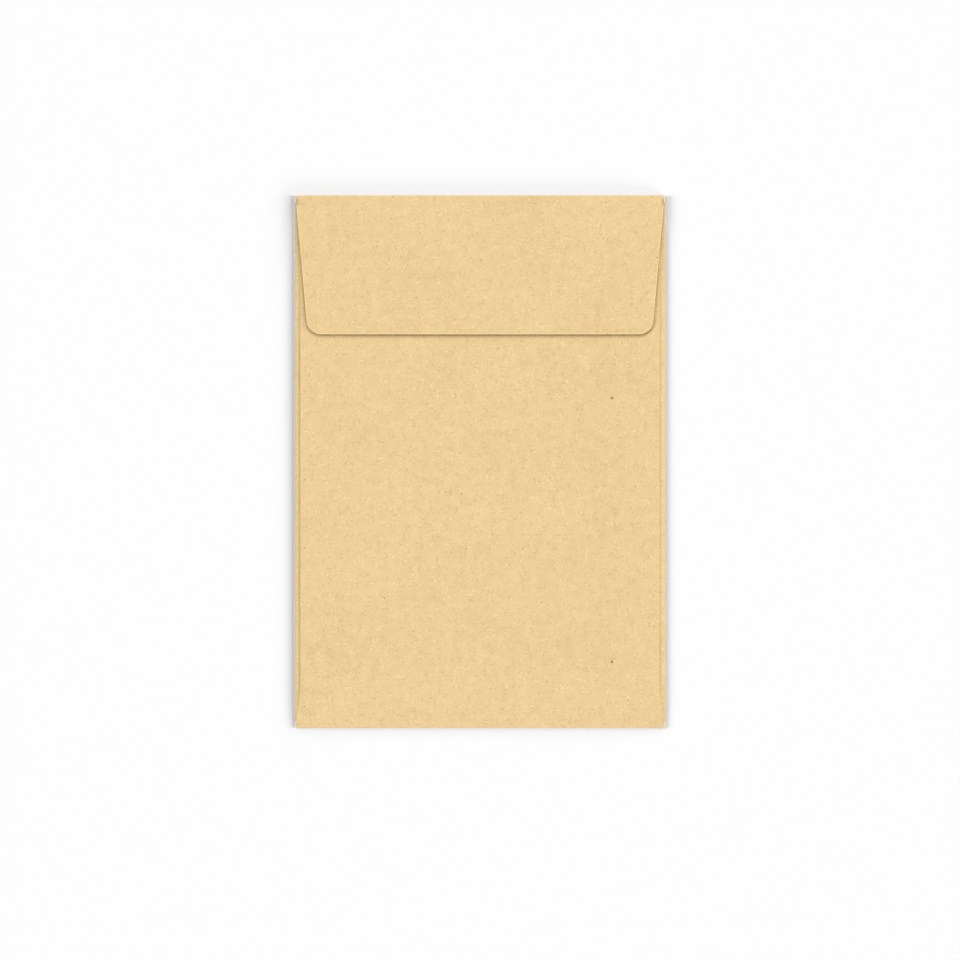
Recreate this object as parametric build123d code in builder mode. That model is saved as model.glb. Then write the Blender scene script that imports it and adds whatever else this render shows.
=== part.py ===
"""A pocket envelope folded from one die-cut sheet of kraft paper.

It lies on its address side. +Z points up out of the flap side, +Y runs towards the
top flap, and the origin is the centre of the face that it lies on.

The sheet is a front panel with four flaps. The two side flaps turn in over the front
panel, the back panel turns up from the bottom and is glued onto them, and the top flap
turns down over the mouth of the pocket. It is closed but not stuck, so its crease
springs it a little clear of the back panel. Every panel is flat, and every crease is
half a ring of paper.
"""

import os

from build123d import *

# Whole envelope, measured over its creases, in millimetres.
envelope_width = 160.0
envelope_height = 230.0

# The sheet, and the air that its creases leave between the layers.
paper_thickness = 0.16
side_crease_gap = 0.40
top_flap_gap = 0.46

# At all four corners the cut edge stands this far in from the side creases.
corner_relief = 0.40

# Side flaps, which the back panel is glued to.
side_flap_width = 16.0
side_flap_end_clearance = 3.2
side_flap_end_lean = 6.0

# Back panel. Its edges leave a strip of each side flap showing, and lean out to the
# full width of the bottom crease.
back_panel_margin = 2.5
back_panel_lean_height = 16.5
throat_depth = 20.0
throat_corner_radius = 3.0

# Top flap, whose side edges lean in towards its round corners.
top_flap_depth = 60.0
top_flap_lean = 5.3
top_flap_corner_radius = 6.2

# Height of each panel's underside. The front panel's is zero.
side_flap_level = paper_thickness + side_crease_gap
back_panel_level = side_flap_level + paper_thickness
top_flap_level = back_panel_level + paper_thickness + top_flap_gap

# A crease joins the front panel to the panel at its level, so its outer radius is half
# the height over the two.
side_crease_radius = (side_flap_level + paper_thickness) / 2
bottom_crease_radius = (back_panel_level + paper_thickness) / 2
top_crease_radius = (top_flap_level + paper_thickness) / 2

# Where the flat panels end and the creases begin.
side_crease_x = envelope_width / 2 - side_crease_radius
bottom_crease_y = bottom_crease_radius - envelope_height / 2
top_crease_y = envelope_height / 2 - top_crease_radius

# Cut edges.
relieved_x = envelope_width / 2 - corner_relief
side_flap_low_y = side_flap_end_clearance - envelope_height / 2
side_flap_high_y = envelope_height / 2 - side_flap_end_clearance
side_crease_length = side_flap_high_y - side_flap_low_y
side_flap_edge_x = side_crease_x - side_flap_width
back_panel_x = envelope_width / 2 - back_panel_margin
back_panel_lean_y = back_panel_lean_height - envelope_height / 2
throat_y = envelope_height / 2 - throat_depth
top_flap_edge_x = relieved_x - top_flap_lean
top_flap_edge_y = envelope_height / 2 - top_flap_depth


def crease_section(outer_radius):
    """Half a ring of paper that bulges along X."""
    with BuildSketch() as section:
        Circle(outer_radius)
        Circle(outer_radius - paper_thickness, mode=Mode.SUBTRACT)
        Rectangle(
            outer_radius,
            2 * outer_radius,
            align=(Align.MAX, Align.CENTER),
            mode=Mode.SUBTRACT,
        )
    return section.sketch


with BuildPart() as envelope:
    # The front panel, which the envelope lies on, stops at the creases.
    with BuildSketch(Plane.XY):
        with BuildLine():
            Polyline(
                (0, bottom_crease_y),
                (relieved_x, bottom_crease_y),
                (relieved_x, side_flap_low_y),
                (side_crease_x, side_flap_low_y),
                (side_crease_x, side_flap_high_y),
                (relieved_x, side_flap_high_y),
                (relieved_x, top_crease_y),
                (0, top_crease_y),
            )
            mirror(about=Plane.YZ)
        make_face()
    extrude(amount=paper_thickness)

    # The side creases and the side flaps, folded in over the front panel.
    for outward in (Vector(1, 0, 0), Vector(-1, 0, 0)):
        crease_axis = outward * side_crease_x + Vector(0, 0, side_crease_radius)
        with BuildSketch(Plane(crease_axis, x_dir=outward, z_dir=(0, 1, 0))):
            add(crease_section(side_crease_radius))
        extrude(amount=side_crease_length / 2, both=True)
    with BuildSketch(Plane.XY.offset(side_flap_level)):
        with BuildLine():
            Polyline(
                (side_crease_x, side_flap_low_y),
                (side_crease_x, side_flap_high_y),
                (side_flap_edge_x, side_flap_high_y - side_flap_end_lean),
                (side_flap_edge_x, side_flap_low_y + side_flap_end_lean),
                close=True,
            )
        make_face()
        mirror(about=Plane.YZ)
    extrude(amount=paper_thickness)

    # The bottom crease and the back panel, glued onto the side flaps.
    bottom_crease_axis = (0, bottom_crease_y, bottom_crease_radius)
    with BuildSketch(Plane(bottom_crease_axis, x_dir=(0, -1, 0), z_dir=(1, 0, 0))):
        add(crease_section(bottom_crease_radius))
    extrude(amount=relieved_x, both=True)
    with BuildSketch(Plane.XY.offset(back_panel_level)) as back_panel:
        with BuildLine():
            Polyline(
                (0, bottom_crease_y),
                (relieved_x, bottom_crease_y),
                (back_panel_x, back_panel_lean_y),
                (back_panel_x, throat_y),
                (0, throat_y),
            )
            mirror(about=Plane.YZ)
        make_face()
        throat_corners = back_panel.vertices().group_by(Axis.Y)[-1]
        fillet(throat_corners, throat_corner_radius)
    extrude(amount=paper_thickness)

    # The top crease and the top flap, closed over the back panel.
    top_crease_axis = (0, top_crease_y, top_crease_radius)
    with BuildSketch(Plane(top_crease_axis, x_dir=(0, 1, 0), z_dir=(1, 0, 0))):
        add(crease_section(top_crease_radius))
    extrude(amount=relieved_x, both=True)
    with BuildSketch(Plane.XY.offset(top_flap_level)) as top_flap:
        with BuildLine():
            Polyline(
                (0, top_crease_y),
                (relieved_x, top_crease_y),
                (top_flap_edge_x, top_flap_edge_y),
                (0, top_flap_edge_y),
            )
            mirror(about=Plane.YZ)
        make_face()
        flap_corners = top_flap.vertices().group_by(Axis.Y)[0]
        fillet(flap_corners, top_flap_corner_radius)
    extrude(amount=paper_thickness)

envelope.part.label = "envelope"

os.makedirs("parts", exist_ok=True)
export_step(envelope.part, "parts/envelope.step")
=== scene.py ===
"""A kraft paper pocket envelope that lies closed on a pale floor, flap side up.

The envelope is one sheet, so it is made the way the real one is: the blank is drawn flat, its
corners are rounded and its panels are divided, and then it is folded along its four creases.
"""

import math

import bpy
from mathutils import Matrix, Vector


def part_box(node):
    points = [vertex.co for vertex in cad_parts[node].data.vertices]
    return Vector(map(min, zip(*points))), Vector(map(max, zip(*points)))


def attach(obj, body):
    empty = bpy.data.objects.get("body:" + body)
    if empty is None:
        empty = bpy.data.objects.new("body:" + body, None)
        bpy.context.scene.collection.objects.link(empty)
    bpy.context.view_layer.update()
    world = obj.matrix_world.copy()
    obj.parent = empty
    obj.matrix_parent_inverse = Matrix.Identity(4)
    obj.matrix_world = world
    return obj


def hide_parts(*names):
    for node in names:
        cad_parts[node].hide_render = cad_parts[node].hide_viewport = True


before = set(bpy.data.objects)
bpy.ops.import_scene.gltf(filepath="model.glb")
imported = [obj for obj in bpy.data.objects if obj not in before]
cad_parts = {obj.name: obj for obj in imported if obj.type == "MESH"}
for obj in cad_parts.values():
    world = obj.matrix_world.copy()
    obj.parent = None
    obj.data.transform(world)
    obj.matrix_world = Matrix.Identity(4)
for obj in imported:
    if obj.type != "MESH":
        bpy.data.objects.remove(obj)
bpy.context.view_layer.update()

MM = 0.001

# The whole envelope, as the frame holds it.
low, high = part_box("envelope")
half_width = (high.x - low.x) / 2
half_height = (high.y - low.y) / 2

# The paper, and the radius and turn of its middle surface at each crease.
paper = 0.16 * MM
side_crease_radius = 0.28 * MM
bottom_crease_radius = 0.36 * MM
top_crease_radius = 0.59 * MM
half_turn = math.pi
top_flap_turn = math.radians(179.9)

# Panels, measured flat.
side_flap_width = 16.0 * MM
side_flap_end_clearance = 3.2 * MM
side_flap_end_lean = 6.0 * MM
back_panel_margin = 2.5 * MM
back_panel_lean_height = 16.5 * MM
throat_depth = 20.0 * MM
throat_corner_radius = 3.0 * MM
top_flap_depth = 60.0 * MM
top_flap_lean = 5.3 * MM
top_flap_corner_radius = 6.2 * MM

# How finely the sheet is divided, and how near points are taken as one.
grid_step = 2.5 * MM
crease_steps = 8
corner_segments = 12
same_place = 0.01 * MM
weld = 0.001 * MM

# The band along the cut edges that has their paler fibres and painted highlight, and the turn that
# shades as a sharp edge.
cut_band = 0.45 * MM
sharp_from = math.radians(40)

# How the folded paper relaxes. It keeps its height near the creases and the glue, sinks
# further on, and its height changes over the reach between them.
glued_from = half_width - side_crease_radius - side_flap_width
panel_sink = 0.12 * MM
flap_sink = 0.20 * MM
sink_reach = 13 * MM
held_by_glue = 14 * MM
held_by_top_crease = 14 * MM
held_by_bottom_crease = 26 * MM

# The back panel's side edges curl up, and the folded corners are pressed flatter.
edge_lift = 0.03 * MM
edge_band = 0.5 * MM
edge_reach = 5 * MM
corner_height = 0.70
corner_band = 2 * MM
corner_reach = 12 * MM

# How far from the creases and the glue the paper is held from buckling.
flap_held = 25 * MM
panel_held_low = 22 * MM
panel_held_beside = 24 * MM

# Buckles in the free paper: name, distance across and height.
buckles = (("wide_buckle", 45 * MM, 0.10 * MM), ("small_buckle", 14 * MM, 0.025 * MM))

# Where the front panel ends and its creases begin.
side_x = half_width - side_crease_radius - paper / 2
bottom_y = -half_height + bottom_crease_radius + paper / 2
top_y = half_height - top_crease_radius - paper / 2
side_flap_low_y = -half_height + side_flap_end_clearance
side_flap_high_y = half_height - side_flap_end_clearance


# --- Sheet ---

places = None  # where each vertex lies on the flat blank, once the blank is whole


def chord(radius, turn):
    """Length of each flat step of a crease of this radius."""
    return 2 * radius * math.sin(turn / crease_steps / 2)


def near(a, b):
    return abs(a - b) < same_place


def select_where(wanted):
    """Selects the vertices that answer to a test of their place on the flat blank."""
    bpy.ops.object.mode_set(mode="OBJECT")
    mesh = bpy.context.object.data
    spots = places or [vertex.co for vertex in mesh.vertices]
    chosen = [bool(wanted(spot)) for spot in spots]
    mesh.polygons.foreach_set("select", [False] * len(mesh.polygons))
    mesh.edges.foreach_set("select", [False] * len(mesh.edges))
    mesh.vertices.foreach_set("select", chosen)
    bpy.ops.object.mode_set(mode="EDIT")


def move(x=0.0, y=0.0, z=0.0):
    bpy.ops.transform.translate(value=(x, y, z))


def widen(share):
    bpy.ops.transform.resize(value=(share, 1, 1), center_override=(0, 0, 0))


def extrude(x=0.0, y=0.0):
    bpy.ops.mesh.extrude_region_move(TRANSFORM_OT_translate={"value": (x, y, 0)})


def cut(axis, at):
    """Divides the whole sheet along the line where its X or Y has this value."""
    normal = Vector((0, 0, 0))
    normal[axis] = 1
    bpy.ops.mesh.select_all(action="SELECT")
    bpy.ops.mesh.bisect(plane_co=normal * at, plane_no=normal, threshold=weld)


def divide(axis, start, end, steps):
    """Divides the sheet into even strips between two lines."""
    for i in range(steps + 1):
        cut(axis, start + (end - start) * i / steps)


def round_corners(wanted, radius, inside_angle):
    """Rounds the corners that answer to a test of their place."""
    select_where(wanted)
    bpy.ops.mesh.bevel(
        offset=radius / math.tan(inside_angle / 2),
        segments=corner_segments,
        affect="VERTICES",
    )


# The flat blank's lines, from the front panel outwards.
side_crease_end = side_x + chord(side_crease_radius, half_turn) * crease_steps
side_flap_end = side_crease_end + side_flap_width
bottom_crease_end = bottom_y - chord(bottom_crease_radius, half_turn) * crease_steps
back_panel_lean_end = bottom_crease_end - back_panel_lean_height + bottom_y + half_height
back_panel_end = bottom_crease_end + bottom_y + throat_depth - half_height
top_crease_end = top_y + chord(top_crease_radius, top_flap_turn) * crease_steps
top_flap_end = top_crease_end + top_flap_depth - half_height + top_y


def draw_blank():
    """Draws the blank's flat outline, by extruding each flap from the front panel's edges."""
    bpy.ops.object.select_all(action="DESELECT")
    bpy.ops.mesh.primitive_plane_add(size=1)
    bpy.context.object.name = "folded_sheet"
    bpy.ops.object.mode_set(mode="EDIT")
    bpy.ops.transform.resize(value=(2 * side_x, top_y - bottom_y, 1))
    move(y=(top_y + bottom_y) / 2)

    cut(1, side_flap_low_y)
    cut(1, side_flap_high_y)
    for side in (1, -1):
        crease_top = side_flap_high_y + same_place
        select_where(lambda p: near(p.x, side * side_x) and abs(p.y) < crease_top)
        extrude(x=side * (side_crease_end - side_x))
        extrude(x=side * side_flap_width)
        for end in (1, -1):
            select_where(lambda p: near(p.x, side * side_flap_end) and p.y * end > 0)
            move(y=-end * side_flap_end_lean)

    select_where(lambda p: near(p.y, bottom_y))
    extrude(y=bottom_crease_end - bottom_y)
    extrude(y=back_panel_lean_end - bottom_crease_end)
    widen((half_width - back_panel_margin) / side_x)
    extrude(y=back_panel_end - back_panel_lean_end)

    select_where(lambda p: near(p.y, top_y))
    extrude(y=top_crease_end - top_y)
    extrude(y=top_flap_end - top_crease_end)
    widen(1 - top_flap_lean / side_x)

    right_angle = math.pi / 2
    top_flap_angle = right_angle + math.atan(top_flap_lean / (top_flap_end - top_crease_end))
    round_corners(lambda p: near(p.y, top_flap_end), top_flap_corner_radius, top_flap_angle)
    round_corners(lambda p: near(p.y, back_panel_end), throat_corner_radius, right_angle)
    bpy.ops.mesh.select_all(action="SELECT")
    bpy.ops.mesh.inset(thickness=cut_band)


def divide_blank():
    """Divides the panels into a grid and each crease into its flat steps."""
    for side in (1, -1):
        divide(0, side * side_x, side * side_crease_end, crease_steps)
        divide(0, side * side_crease_end, side * side_flap_end, round(side_flap_width / grid_step))
    divide(0, -side_x, side_x, round(2 * side_x / grid_step))
    divide(1, bottom_y, bottom_crease_end, crease_steps)
    divide(1, top_y, top_crease_end, crease_steps)
    for start, end in (
        (bottom_y, top_y),
        (top_crease_end, top_flap_end),
        (bottom_crease_end, back_panel_end),
    ):
        divide(1, start, end, round(abs(end - start) / grid_step))
    bpy.ops.mesh.select_all(action="SELECT")
    bpy.ops.mesh.remove_doubles(threshold=weld)


def mark(mesh, name, values):
    """Keeps a number for each vertex of the sheet, for its finish to read."""
    attribute = mesh.attributes.new(name, "FLOAT", "POINT")
    attribute.data.foreach_set("value", [float(value) for value in values])


def painted_crease_shade(spot):
    """Painted shade on the folds: how far the paper is darkened, most in a crease's lower half
    beside the floor, and 0 off the creases.
    """
    creases = (  # a vertex's place across the crease, the crease's two ends, painted shade below and above
        (abs(spot.x), side_x, side_crease_end, 1.0, 0.5),
        (-spot.y, -bottom_y, -bottom_crease_end, 0.9, 0.08),
        (spot.y, top_y, top_crease_end, 0.9, 0.0),
    )
    for place, start, end, below, above in creases:
        if start < place < end:
            return below if place < (start + end) / 2 else above
    return 0.0


def edge_highlight(spot):
    """How far a cut edge is lightened, by paler cut fibres and a painted highlight: most at the top
    flap's edge.
    """
    return 1.0 if spot.y > top_crease_end else 0.25


def keep_blank_places(sheet):
    """Keeps each vertex's place on the flat blank, and marks the cut edges' painted highlight and
    the creases' painted shade.
    """
    global places
    mesh = sheet.data
    places = [vertex.co.copy() for vertex in mesh.vertices]
    place = mesh.attributes.new("blank_place", "FLOAT_VECTOR", "POINT")
    place.data.foreach_set("vector", [number for spot in places for number in spot])
    bpy.ops.object.mode_set(mode="EDIT")
    bpy.ops.mesh.select_all(action="DESELECT")
    bpy.ops.mesh.select_non_manifold()
    bpy.ops.object.mode_set(mode="OBJECT")
    mark(mesh, "cut_edge", [vertex.select * edge_highlight(vertex.co) for vertex in mesh.vertices])
    mark(mesh, "crease", [painted_crease_shade(spot) for spot in places])


def fold(axis, start, radius, turn):
    """Rolls all that lies past a crease over the front panel, a flat step at a time."""
    side = math.copysign(1, start)
    step_angle = turn / crease_steps
    for i in range(crease_steps + 1):
        line = abs(start) + i * chord(radius, turn)
        select_where(lambda p: side * p[axis] > line + weld)
        pivot = Vector((0, 0, radius - radius * math.cos(i * step_angle)))
        pivot[axis] = start + side * radius * math.sin(i * step_angle)
        share = 0.5 if i in (0, crease_steps) else 1
        # With no window, an angle turns the other way.
        sense = side if axis == 0 else -side
        bpy.ops.transform.rotate(
            value=sense * share * step_angle,
            orient_axis="Y" if axis == 0 else "X",
            center_override=pivot,
        )


def fold_sheet():
    fold(0, side_x, side_crease_radius, half_turn)
    fold(0, -side_x, side_crease_radius, half_turn)
    fold(1, bottom_y, bottom_crease_radius, half_turn)
    fold(1, top_y, top_crease_radius, top_flap_turn)


def between(value, start, end):
    """0 at the start and 1 at the end, and smooth between them."""
    share = min(max((value - start) / (end - start), 0), 1)
    return share * share * (3 - 2 * share)


def looseness(spot):
    """How free the paper is to bend there: 1 inside a free panel, and 0 at creases and glue."""
    if spot.y > top_crease_end:
        return between(spot.y, top_crease_end, top_crease_end + flap_held)
    if spot.y < bottom_crease_end:
        low_end = between(-spot.y, -bottom_crease_end, -bottom_crease_end + panel_held_low)
        return low_end * between(-abs(spot.x), -glued_from, -glued_from + panel_held_beside)
    return 0


def ease(rise, reach):
    """Raises the selected paper, and less and less of the sheet that is joined to it."""
    bpy.ops.transform.translate(
        value=(0, 0, rise),
        use_proportional_edit=True,
        use_proportional_connected=True,
        proportional_edit_falloff="SMOOTH",
        proportional_size=reach,
    )


def press_corners():
    """Presses the four folded corners flatter than the creases between them."""
    for side in (1, -1):
        for start, end in ((bottom_crease_end, bottom_y), (top_y, top_crease_end)):
            select_where(lambda p: side * p.x > half_width - corner_band and start < p.y < end)
            bpy.ops.transform.resize(
                value=(1, 1, corner_height),
                center_override=(0, 0, paper / 2),
                use_proportional_edit=True,
                use_proportional_connected=True,
                proportional_edit_falloff="SMOOTH",
                proportional_size=corner_reach,
            )


def settle():
    """Lets the back panel sink between the glued side flaps, and the top flap towards it."""
    panel_from = bottom_crease_end - held_by_bottom_crease
    panel_within = glued_from - held_by_glue
    select_where(lambda p: p.y < panel_from and abs(p.x) < panel_within)
    ease(-panel_sink, sink_reach)
    select_where(lambda p: p.y > top_crease_end + held_by_top_crease)
    ease(-flap_sink, sink_reach)
    edge_from = half_width - back_panel_margin - edge_band
    for side in (1, -1):
        select_where(lambda p: p.y < back_panel_lean_end and side * p.x > edge_from)
        ease(edge_lift, edge_reach)


def buckle(sheet):
    """Buckles the free paper a little."""
    bpy.ops.object.mode_set(mode="OBJECT")
    loose = sheet.vertex_groups.new(name="loose")
    for vertex, spot in zip(sheet.data.vertices, places):
        loose.add([vertex.index], looseness(spot), "REPLACE")
    for name, size, height in buckles:
        pattern = bpy.data.textures.new(name, "CLOUDS")
        pattern.noise_scale = size
        pattern.noise_depth = 0
        push = sheet.modifiers.new(name, "DISPLACE")
        push.texture = pattern
        push.direction = "Z"
        push.strength = height
        push.vertex_group = loose.name
        bpy.ops.object.modifier_apply(modifier=push.name)
    sheet.vertex_groups.clear()


def make_sheet():
    draw_blank()
    divide_blank()
    bpy.ops.object.mode_set(mode="OBJECT")
    sheet = bpy.context.object
    keep_blank_places(sheet)
    fold_sheet()
    bpy.ops.mesh.select_all(action="SELECT")
    move(z=paper / 2)
    settle()
    press_corners()
    buckle(sheet)

    bpy.ops.object.mode_set(mode="EDIT")
    bpy.ops.mesh.select_all(action="SELECT")
    bpy.ops.mesh.normals_make_consistent(inside=False)
    bpy.ops.object.mode_set(mode="OBJECT")
    wall = sheet.modifiers.new("paper", "SOLIDIFY")
    wall.thickness = paper
    wall.offset = 0
    bpy.ops.object.modifier_apply(modifier=wall.name)
    bpy.ops.object.shade_smooth_by_angle(angle=sharp_from)
    return sheet


# --- Finishes ---


class Value:
    """A socket of a finish, with the operators that its maths uses."""

    def __init__(self, finish, socket):
        self.finish = finish
        self.socket = socket

    def maths(self, operation, first, second=0.0):
        return self.finish.node("ShaderNodeMath", {"operation": operation}, {0: first, 1: second})

    def __add__(self, other):
        return self.maths("ADD", self, other)

    def __sub__(self, other):
        return self.maths("SUBTRACT", self, other)

    def __mul__(self, other):
        return self.maths("MULTIPLY", self, other)

    def __radd__(self, other):
        return self.maths("ADD", other, self)

    def __rsub__(self, other):
        return self.maths("SUBTRACT", other, self)

    def __rmul__(self, other):
        return self.maths("MULTIPLY", other, self)

    def other(self, output):
        """Another output of the node that this value comes from."""
        return Value(self.finish, self.socket.node.outputs[output])


class Finish:
    """A tree of shader nodes, which grows a node at a time."""

    def __init__(self, tree):
        self.tree = tree

    def join(self, value, socket):
        """Links a value to a socket, or sets the socket to it."""
        if isinstance(value, Value):
            self.tree.links.new(value.socket, socket)
        else:
            socket.default_value = value

    def node(self, kind, settings, inputs, output=0):
        made = self.tree.nodes.new(kind)
        for name, setting in settings.items():
            setattr(made, name, setting)
        for name, value in inputs.items():
            self.join(value, made.inputs[name])
        return Value(self, made.outputs[output])

    def steps(self, value, start, end):
        """0 before the start and 1 past the end of a span of the value, and smooth within it."""
        span = {"Value": value, "From Min": start, "From Max": end}
        return self.node("ShaderNodeMapRange", {"interpolation_type": "SMOOTHSTEP"}, span)

    def vector(self, operation, first, second, output=0):
        sockets = {0: first, 1: second}
        return self.node("ShaderNodeVectorMath", {"operation": operation}, sockets, output)

    def mix(self, share, first, second):
        """A colour between two colours."""
        colours = {"Factor": share, 6: first, 7: second}
        return self.node("ShaderNodeMix", {"data_type": "RGBA"}, colours, output=2)


def new_material(name):
    """Returns a material, its finish and its surface node."""
    material = bpy.data.materials.new(name)
    material.use_nodes = True
    return material, Finish(material.node_tree), material.node_tree.nodes["Principled BSDF"]


# Kraft paper, as the share of each colour that it sends back.
dark_paper = (0.660, 0.465, 0.220, 1)
light_paper = (0.890, 0.674, 0.361, 1)
# Painted shade on the creases.
crease_shade_colour = (0.13, 0.115, 0.085, 1)
# Painted shadow beside the top flap's edge.
flap_shadow_colour = (0.20, 0.12, 0.035, 1)
dark_speck = (0.16, 0.095, 0.035, 1)

# How much each pattern lightens or darkens the paper.
cloud_tone = 0.24
mottle_tone = 0.27
fine_tone = 0.24
fibre_tone = 0.59
# The cut edges' paler fibres and painted highlight.
cut_edge_highlight_tone = 0.75
speck_strength = 0.9
large_speck_strength = 0.8

pattern_shift = 217.0  # far enough apart, in millimetres, that no two patterns match
clump_span = (-0.12, 0.10)  # fibres lie where the noise is above this span
relief_depth = 0.02 * MM
relief_strength = 0.6
paper_roughness = 0.88
paper_gloss = 0.02

# Two larger specks on the back panel, in millimetres from the envelope's middle.
large_specks = ((57.0, 27.5), (57.0, -86.4))

# The painted shadow lines beside the top flap's edge: reach from the edge in millimetres, and
# strength.
# The narrow one is weaker by its loss along the free edge. The others lie only there, and come
# in over the free edge's zone, in millimetres.
narrow_reach, narrow_shadow, narrow_loss = 0.6, 0.42, 0.2
middle_reach, middle_shadow = 0.9, 0.10
wide_reach, wide_shadow = 2.2, 0.62
free_edge_zone = 5


def on_back_panel(x, y):
    """The place on the flat blank, in millimetres, of a point on the back panel."""
    return (x, (bottom_crease_end + bottom_y) / MM - y, 0)


def painted_flap_shadow(finish):
    """A painted shadow: the soft dark line beside the top flap's edge, on the paper below it."""
    place = finish.node("ShaderNodeTexCoord", {}, {}, "Object")
    spot = finish.node("ShaderNodeSeparateXYZ", {}, {"Vector": place}, "X")
    across = spot.maths("ABSOLUTE", spot) * (1 / MM)
    up = spot.other("Y") * (1 / MM)
    free_edge = (half_height - top_flap_depth) / MM
    corner = top_flap_corner_radius / MM
    edge_slope = top_flap_lean / (top_flap_end - top_crease_end)
    edge_x = (side_x - top_flap_lean) / MM
    beside = across - edge_slope * (up - free_edge) + (corner - edge_x)
    below = (free_edge + corner) - up
    outwards = {"X": beside.maths("MAXIMUM", beside), "Y": below.maths("MAXIMUM", below)}
    from_middle = finish.node("ShaderNodeCombineXYZ", {}, outwards)
    gap = finish.vector("DISTANCE", from_middle, (0, 0, 0), "Value") - corner

    low_down = finish.steps(up, free_edge + free_edge_zone, free_edge)
    narrow = finish.steps(gap, narrow_reach, 0.0) * (narrow_shadow - narrow_loss * low_down)
    middle = finish.steps(gap, middle_reach, 0.0) * middle_shadow
    wide = finish.steps(gap, wide_reach, 0.0) * wide_shadow
    shadow_share = narrow + (middle + wide) * low_down

    # The painted shadow fades out under the flap and at the top crease, and shows only on the
    # layers between the front panel and the flap.
    outside_flap = finish.steps(gap, -1.5, -0.5) * finish.steps(up, top_y / MM, top_y / MM - 1)
    above_front = finish.steps(spot.other("Z"), 0.50 * MM, 0.54 * MM)
    below_flap = finish.steps(spot.other("Z"), 1.08 * MM, 1.04 * MM)
    return shadow_share * outside_flap * above_front * below_flap


def kraft_paper():
    material, finish, surface = new_material("kraft_paper")

    def layer(number):
        """The blank's own coordinates in millimetres, moved along for each pattern."""
        place = finish.node("ShaderNodeAttribute", {"attribute_name": "blank_place"}, {}, "Vector")
        shift = (pattern_shift * number, 0, 0)
        spots = {"Vector": place, "Location": shift, "Scale": (1 / MM, 1 / MM, 1 / MM)}
        return finish.node("ShaderNodeMapping", {}, spots)

    def noise(size, number, detail=0.0):
        """Soft noise about 0, whose features are so many millimetres across."""
        sockets = {"Vector": layer(number), "Scale": 1 / size, "Detail": detail}
        return finish.node("ShaderNodeTexNoise", {"noise_dimensions": "2D"}, sockets) - 0.5

    def strokes(spacing, length, width, number, curl=0.0):
        """Fibres or flecks, one to each square of this spacing in millimetres.

        Each lies its own way and has its own strength, and a curl bends the long ones.
        """
        place = layer(number)
        if curl:
            sockets = {"Vector": place, "Scale": 0.45, "Detail": 1.0}
            bend = finish.node("ShaderNodeTexNoise", {"noise_dimensions": "2D"}, sockets, "Color")
            place = finish.vector("ADD", place, finish.vector("MULTIPLY", bend, (curl, curl, 0)))
        sockets = {"Vector": place, "Scale": 1 / spacing}
        cell = finish.node("ShaderNodeTexVoronoi", {"voronoi_dimensions": "2D"}, sockets, "Color")
        chance = finish.node("ShaderNodeSeparateColor", {}, {"Color": cell}, "Red")
        from_middle = finish.vector("SUBTRACT", place, cell.other("Position"))
        turn = {"Vector": from_middle, "Angle": chance * (2 * math.pi)}
        turned = finish.node("ShaderNodeVectorRotate", {"rotation_type": "Z_AXIS"}, turn)
        shaped = finish.vector("MULTIPLY", turned, (2 / length, 2 / width, 0))
        reach = finish.vector("DISTANCE", shaped, (0, 0, 0), "Value")
        return finish.steps(reach, 1.1, 0.4) * chance.other("Green")

    clouds = noise(size=28.0, number=1, detail=2.0)
    mottle = noise(size=4.6, number=2, detail=1.0)
    fine = noise(size=0.65, number=3, detail=1.0)

    # Long fibres, short fibres and flecks, dark and light, which lie in clumps.
    dark = (
        strokes(spacing=2.4, length=3.0, width=0.42, number=4, curl=1.6)
        + strokes(spacing=1.9, length=1.8, width=0.46, number=5, curl=1.2)
        + strokes(spacing=1.6, length=0.7, width=0.55, number=6)
    ) * finish.steps(noise(size=4.0, number=11, detail=1.0), *clump_span)
    light = (
        strokes(spacing=2.2, length=2.2, width=0.42, number=7, curl=1.6)
        + strokes(spacing=1.5, length=0.8, width=0.55, number=8)
        + strokes(spacing=2.1, length=0.7, width=0.7, number=9)
    ) * finish.steps(noise(size=4.5, number=12, detail=1.0), *clump_span)

    # The tone runs from dark paper at 0 to light paper at 1.
    cut = finish.node("ShaderNodeAttribute", {"attribute_name": "cut_edge"}, {}, "Fac")
    tone = 0.5 + clouds * cloud_tone + mottle * mottle_tone + fine * fine_tone
    # Cut edges are lightened by paler fibres and a painted highlight.
    tone = tone - dark * fibre_tone + light * fibre_tone + cut * cut_edge_highlight_tone
    colour = finish.mix(tone, dark_paper, light_paper)
    crease = finish.node("ShaderNodeAttribute", {"attribute_name": "crease"}, {}, "Fac")
    # Painted shade darkens the creases, most their lower halves.
    colour = finish.mix(crease * (0.8 + fine), colour, crease_shade_colour)
    # Painted shadow along the top flap's edge.
    colour = finish.mix(painted_flap_shadow(finish) * (0.9 + fine * 0.8), colour, flap_shadow_colour)

    small_specks = strokes(spacing=24.0, length=0.85, width=0.55, number=10)
    colour = finish.mix(small_specks * speck_strength, colour, dark_speck)
    for x, y in large_specks:
        distance = finish.vector("DISTANCE", layer(0), on_back_panel(x, y), "Value")
        speck = finish.steps(distance, 0.75, 0.3) * large_speck_strength
        colour = finish.mix(speck, colour, dark_speck)

    # Grain and light fibres stand up, and dark fibres lie a little low and smooth.
    height = fine * 0.5 + mottle * 0.4 + light * 0.35 - dark * 0.2
    relief = {"Height": height, "Distance": relief_depth, "Strength": relief_strength}
    roughness = paper_roughness + fine * 0.12 - dark * 0.05
    finish.join(colour, surface.inputs["Base Color"])
    finish.join(roughness, surface.inputs["Roughness"])
    finish.join(finish.node("ShaderNodeBump", {}, relief), surface.inputs["Normal"])
    surface.inputs["Specular IOR Level"].default_value = paper_gloss
    return material


sheet = make_sheet()
sheet.data.materials.append(kraft_paper())
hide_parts("envelope")
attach(sheet, "root")

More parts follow.
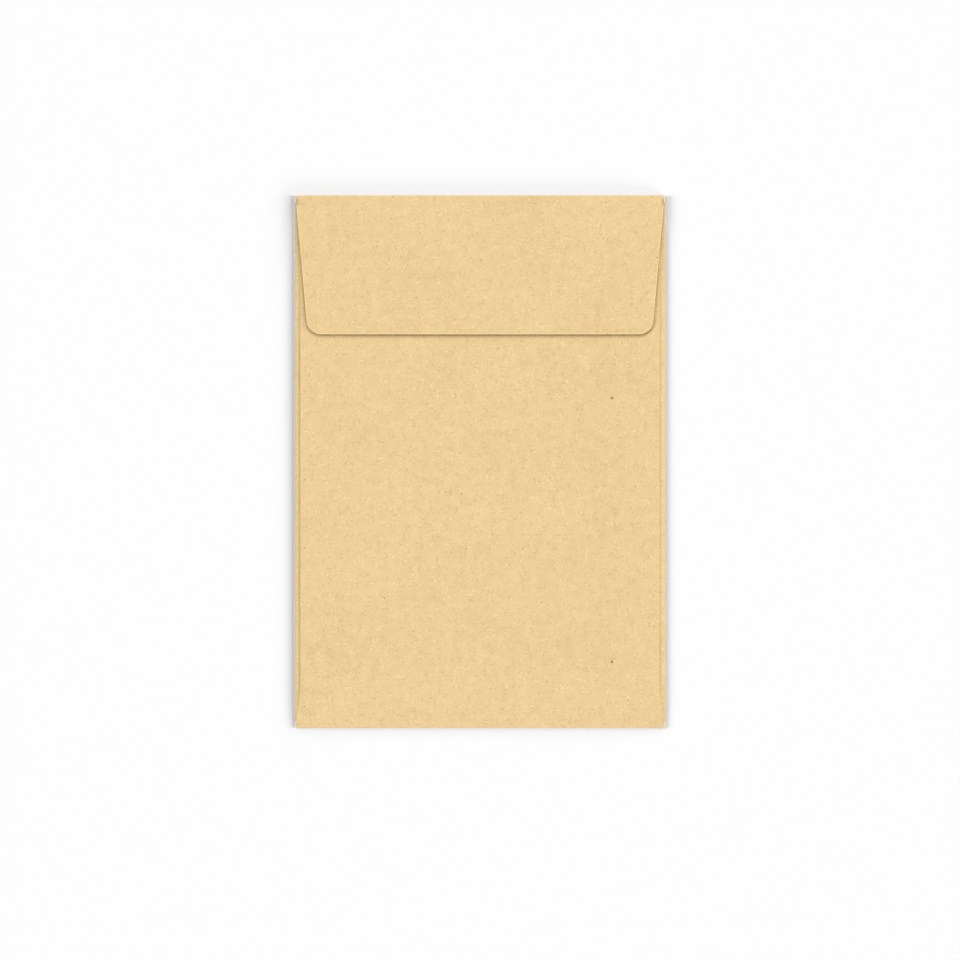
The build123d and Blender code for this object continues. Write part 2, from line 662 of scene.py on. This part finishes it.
# --- Floor, light and camera ---

floor_size = 30  # metres
floor_drop = 0.02 * MM  # it lies this far below the paper, so that they share no face
floor_white = 0.90
floor_brightness = 0.985
ambient_share = 0.02

# Distant lights: name, azimuth, elevation and width in degrees, and share of the floor's light.
softboxes = (
    ("right_softbox", 0, 22, 20, 0.27),
    ("left_softbox", 180, 14, 14, 0.26),
    ("back_left_softbox", 135, 22, 20, 0.17),
    ("front_left_softbox", 225, 32, 26, 0.06),
    ("low_right_softbox", 0, 8, 8, 0.08),
    ("low_front_right_softbox", 315, 8, 8, 0.09),
    ("low_back_right_softbox", 45, 8, 8, 0.05),
)

view_width = 414.3 * MM
camera_below_middle = 7.87 * MM
camera_lens = 100.0


def lay_floor():
    bpy.ops.object.select_all(action="DESELECT")
    bpy.ops.mesh.primitive_plane_add(size=floor_size, location=(0, 0, -floor_drop))
    floor = bpy.context.object
    floor.name = "floor"
    material, finish, surface = new_material("pale_floor")
    surface.inputs["Base Color"].default_value = (floor_white, floor_white, floor_white, 1)
    surface.inputs["Roughness"].default_value = 1.0
    surface.inputs["Specular IOR Level"].default_value = 0.0
    floor.data.materials.append(material)


def add_softbox(name, azimuth, elevation, width, share):
    """Adds a wide, distant light that gives the floor this share of its brightness."""
    height = math.radians(elevation)
    turn = math.radians(azimuth)
    level = math.cos(height)
    towards = -Vector((level * math.cos(turn), level * math.sin(turn), math.sin(height)))
    bpy.ops.object.light_add(type="SUN", rotation=towards.to_track_quat("-Z", "Y").to_euler())
    light = bpy.context.object
    light.name = name
    light.data.angle = math.radians(width)
    light.data.energy = share * math.pi * floor_brightness / floor_white / math.sin(height)


def light_world():
    """Gives weak light from all round, and a pale backdrop where the camera sees past the floor."""
    world = bpy.data.worlds.new("studio")
    world.use_nodes = True
    bpy.context.scene.world = world
    finish = Finish(world.node_tree)
    seen = finish.node("ShaderNodeLightPath", {}, {}, "Is Camera Ray")
    ambient = ambient_share * floor_brightness / floor_white
    background = world.node_tree.nodes["Background"]
    background.inputs["Color"].default_value = (1, 1, 1, 1)
    finish.join(ambient + seen * (floor_brightness - ambient), background.inputs["Strength"])


def place_camera():
    """Looks straight down at the envelope, a little below its middle."""
    bpy.ops.object.camera_add(location=(0, -camera_below_middle, 0))
    camera = bpy.context.object
    camera.data.lens = camera_lens
    camera.location.z = high.z + view_width * camera_lens / camera.data.sensor_width
    bpy.context.scene.camera = camera


lay_floor()
for softbox in softboxes:
    add_softbox(*softbox)
light_world()
place_camera()
bpy.context.scene.view_settings.view_transform = "Standard"
